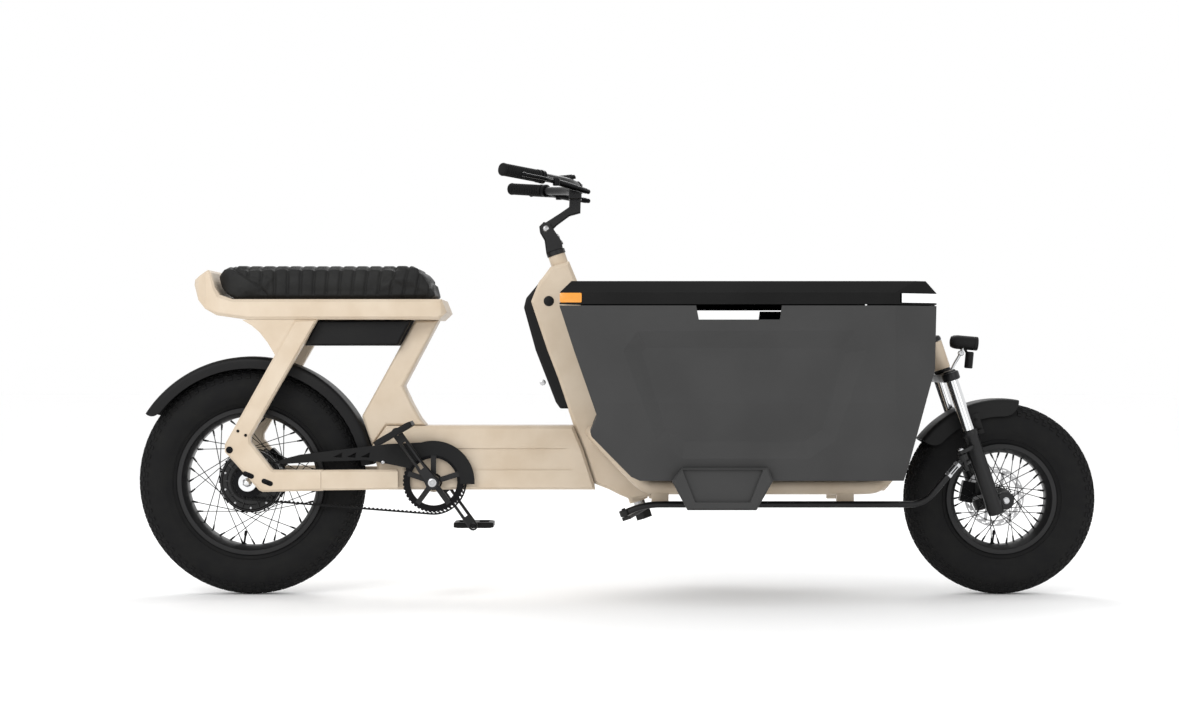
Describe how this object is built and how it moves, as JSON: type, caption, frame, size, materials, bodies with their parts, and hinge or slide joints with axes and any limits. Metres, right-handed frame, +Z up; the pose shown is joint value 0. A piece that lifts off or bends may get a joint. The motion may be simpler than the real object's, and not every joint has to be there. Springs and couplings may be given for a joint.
{
  "type": "cargo bicycle",
  "caption": "Long front-loading electric cargo bicycle with a lidded box behind a small front wheel, linkage steering, a belt drive and a bench seat.",
  "frame": {"origin": "on the ground under the middle of the bicycle's length and width", "axes": "+X forward, +Y to the rider's left, +Z up"},
  "size_m": [2.529, 0.668, 1.113],
  "materials": {
    "beige_paint": "satin",
    "black_paint": "satin",
    "black_plastic": "matte",
    "box_plastic": "matte",
    "lid_plastic": "matte",
    "tyre_rubber": "matte",
    "grip_rubber": "matte",
    "seat_vinyl": "matte",
    "bare_steel": "brushed",
    "bare_aluminium": "satin",
    "orange_lens": "gloss",
    "white_lens": "gloss"
  },
  "bodies": {
    "root": {"main_beam": "beige_paint", "steering_tower": "beige_paint", "rear_frame_right": "beige_paint", "rear_frame_left": "beige_paint", "seat_strut": "beige_paint", "seat_rail": "beige_paint", "seat_pad": "seat_vinyl", "under_seat_box": "black_plastic", "battery_pack": "black_plastic", "cradle_rail_right": "beige_paint", "cradle_rail_left": "beige_paint", "front_riser": "beige_paint", "cargo_box": "box_plastic", "lid_hinge": "black_paint", "rear_mudguard": "black_plastic", "belt_guard": "black_plastic", "drive_belt": "grip_rubber", "bottom_bracket": "black_paint", "rear_axle": "bare_steel", "rear_brake_caliper": "black_paint"},
    "rear_wheel": {"rear_tyre": "tyre_rubber", "rear_rim": "black_paint", "rear_hub": "black_paint", "rear_spokes": "black_paint", "rear_brake_disc": "bare_steel"},
    "sprocket": {"rear_sprocket": "black_paint"},
    "crank": {"crank_spindle": "bare_steel", "belt_ring": "black_paint", "crank_arm_right": "black_paint", "crank_arm_left": "black_paint"},
    "pedal_right": {"pedal_right": "black_plastic"},
    "pedal_left": {"pedal_left": "black_plastic"},
    "steering": {"steering_column": "bare_steel", "steering_arm": "black_paint", "stem_base": "black_paint"},
    "cockpit": {"stem_arm": "black_paint", "handlebar": "black_paint", "grip_right": "grip_rubber", "grip_left": "grip_rubber", "brake_housing_right": "black_paint", "brake_housing_left": "black_paint", "display": "black_plastic"},
    "brake_lever_right": {"brake_lever_right": "bare_aluminium"},
    "brake_lever_left": {"brake_lever_left": "bare_aluminium"},
    "tie_rod": {"tie_rod": "black_paint"},
    "fork_upper": {"fork_crown": "black_paint"},
    "headlight": {"headlight": "black_plastic"},
    "fork_lower": {"fork_lowers": "black_paint", "front_mudguard": "black_plastic", "front_brake_caliper": "black_paint"},
    "front_wheel": {"front_tyre": "tyre_rubber", "front_rim": "black_paint", "front_hub": "black_paint", "front_spokes": "black_paint", "front_brake_disc": "bare_steel"},
    "lid": {"lid": "lid_plastic", "rear_reflector_right": "orange_lens", "rear_reflector_left": "orange_lens", "front_reflector": "white_lens"},
    "kickstand": {"kickstand": "black_paint"}
  },
  "joints": [
    {"name": "rear_wheel_spin", "type": "hinge", "parent": "root", "child": "rear_wheel", "pos_m": [-0.9645, 0, 0.3], "axis": [0, 1, 0], "continuous": true},
    {"name": "crank_spin", "type": "hinge", "parent": "root", "child": "crank", "pos_m": [-0.481, 0, 0.3005], "axis": [0, 1, 0], "continuous": true},
    {"name": "sprocket_spin", "type": "hinge", "parent": "root", "child": "sprocket", "pos_m": [-0.9645, 0, 0.3], "axis": [0, 1, 0], "continuous": true},
    {"name": "pedal_right_spin", "type": "hinge", "parent": "crank", "child": "pedal_right", "pos_m": [-0.57414, 0, 0.4306], "axis": [0, 1, 0], "continuous": true},
    {"name": "pedal_left_spin", "type": "hinge", "parent": "crank", "child": "pedal_left", "pos_m": [-0.38786, 0, 0.1704], "axis": [0, 1, 0], "continuous": true},
    {"name": "steering", "type": "hinge", "parent": "root", "child": "steering", "pos_m": [-0.16, 0, 0.897], "axis": [-0.3173, 0, 0.9483], "range_deg": [-25, 25]},
    {"name": "tie_rod_pivot", "type": "hinge", "parent": "steering", "child": "tie_rod", "pos_m": [0.01738, -0.15, 0.22506], "axis": [-0.3173, 0, 0.9483], "range_deg": [-25, 25]},
    {"name": "stem_tilt", "type": "hinge", "parent": "steering", "child": "cockpit", "pos_m": [-0.188, 0, 0.966], "axis": [0, 1, 0], "range_deg": [-10, 20]},
    {"name": "brake_right", "type": "hinge", "parent": "cockpit", "child": "brake_lever_right", "pos_m": [-0.1574, -0.23018, 1.07144], "axis": [0, 0, -1], "range_deg": [0, 12], "stiffness_Nm_per_rad": 1, "springref_deg": -8.59},
    {"name": "brake_left", "type": "hinge", "parent": "cockpit", "child": "brake_lever_left", "pos_m": [-0.1574, 0.23018, 1.07144], "axis": [0, 0, 1], "range_deg": [0, 12], "stiffness_Nm_per_rad": 1, "springref_deg": -8.59},
    {"name": "fork_steer", "type": "hinge", "parent": "root", "child": "fork_upper", "pos_m": [0.97926, 0, 0.24221], "axis": [-0.3173, 0, 0.9483], "range_deg": [-25, 25]},
    {"name": "headlight_tilt", "type": "hinge", "parent": "fork_upper", "child": "headlight", "pos_m": [0.91145, 0, 0.6371], "axis": [0, 1, 0], "range_deg": [-20, 20]},
    {"name": "fork_slide", "type": "slide", "parent": "fork_upper", "child": "fork_lower", "axis": [-0.3173, 0, 0.9483], "range_m": [0, 0.04], "stiffness_N_per_m": 9000, "springref_m": -0.05},
    {"name": "front_wheel_spin", "type": "hinge", "parent": "fork_lower", "child": "front_wheel", "pos_m": [1.0115, 0, 0.253], "axis": [0, 1, 0], "continuous": true},
    {"name": "lid_hinge", "type": "hinge", "parent": "root", "child": "lid", "pos_m": [0.807, 0, 0.757], "axis": [0, 1, 0], "range_deg": [0, 75]},
    {"name": "kickstand_fold", "type": "hinge", "parent": "root", "child": "kickstand", "pos_m": [0.322, 0, 0.288], "axis": [0, 1, 0], "range_deg": [0, 95]}
  ],
  "couplings": [
    {"joint": "sprocket_spin", "follows": "crank_spin", "ratio": 1.9167},
    {"joint": "tie_rod_pivot", "follows": "steering", "ratio": -1},
    {"joint": "fork_steer", "follows": "steering", "ratio": 1}
  ]
}
